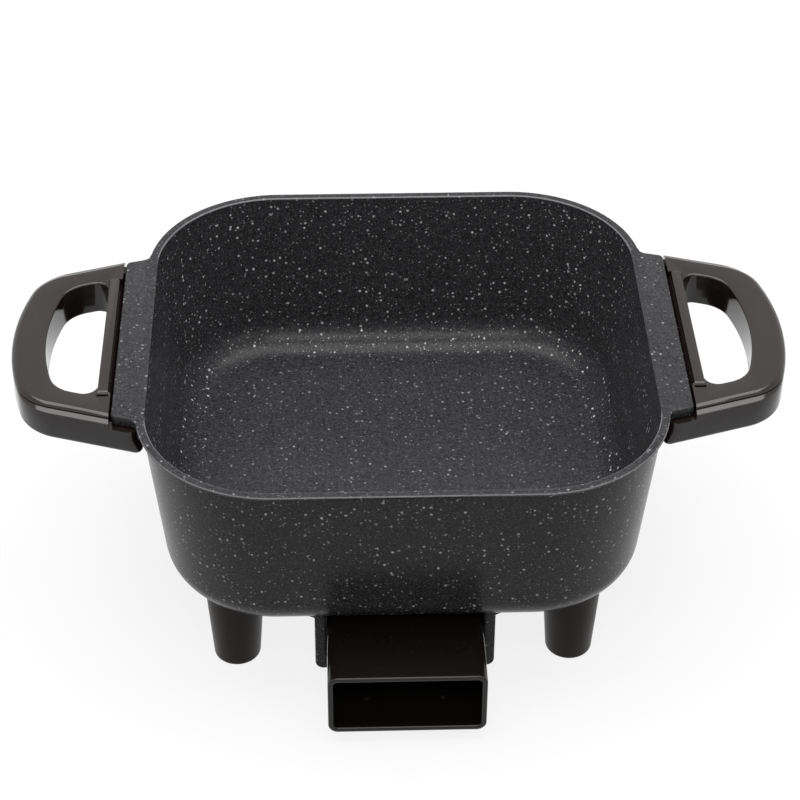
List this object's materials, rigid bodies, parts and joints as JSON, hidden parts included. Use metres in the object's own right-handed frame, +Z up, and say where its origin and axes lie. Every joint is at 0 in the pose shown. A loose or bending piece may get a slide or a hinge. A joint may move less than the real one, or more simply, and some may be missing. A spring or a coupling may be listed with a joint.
{
  "type": "electric skillet",
  "caption": "Deep square electric skillet with speckled non-stick pan, loop handles with flip-up lid props, tapered legs and a plug-in heat control inlet under the front.",
  "frame": {"origin": "middle of the footprint at table level, with the inlet shroud counted in the footprint's depth", "axes": "+X to the right handle, +Y to the back, away from the inlet, +Z up"},
  "size_m": [0.442, 0.317, 0.1588],
  "materials": {
    "stone_coating": "satin charcoal non-stick coating with pale speckles on die-cast aluminium",
    "handle_phenolic": "moulded black phenolic, semi-gloss",
    "leg_phenolic": "moulded black phenolic, satin",
    "shroud_phenolic": "moulded black phenolic, polished",
    "prop_enamel": "black enamel on steel bar, satin",
    "pivot_steel": "bright drawn steel",
    "foot_rubber": "matte",
    "insulator_ceramic": "unglazed steatite",
    "element_sheath": "drawn tube, dulled by heat",
    "terminal_nickel": "nickel plated",
    "sleeve_steel": "turned stainless",
    "screw_zinc": "zinc plated"
  },
  "bodies": {
    "skillet": {"pan_body": "stone_coating", "heating_element": "element_sheath", "terminal_pin_left": "terminal_nickel", "terminal_pin_right": "terminal_nickel", "insulator_left": "insulator_ceramic", "insulator_right": "insulator_ceramic", "probe_sleeve": "sleeve_steel", "socket_shroud": "shroud_phenolic", "shroud_screws": "screw_zinc", "handle_left": "handle_phenolic", "handle_right": "handle_phenolic", "handle_screws_left": "screw_zinc", "handle_screws_right": "screw_zinc", "lid_prop_pin_left": "pivot_steel", "lid_prop_pin_right": "pivot_steel", "leg_front_left": "leg_phenolic", "leg_front_right": "leg_phenolic", "leg_rear_left": "leg_phenolic", "leg_rear_right": "leg_phenolic", "leg_screws": "screw_zinc", "foot_pad_front_left": "foot_rubber", "foot_pad_front_right": "foot_rubber", "foot_pad_rear_left": "foot_rubber", "foot_pad_rear_right": "foot_rubber"},
    "lid_prop_left": {"lid_prop_left": "prop_enamel"},
    "lid_prop_right": {"lid_prop_right": "prop_enamel"}
  },
  "joints": [
    {"name": "lid_prop_left_hinge", "type": "hinge", "parent": "skillet", "child": "lid_prop_left", "pos_m": [-0.1666, -0.0405, 0.1562], "axis": [1, 0, 0], "range_deg": [0, 90]},
    {"name": "lid_prop_right_hinge", "type": "hinge", "parent": "skillet", "child": "lid_prop_right", "pos_m": [0.1666, -0.0405, 0.1562], "axis": [1, 0, 0], "range_deg": [0, 90]}
  ]
}
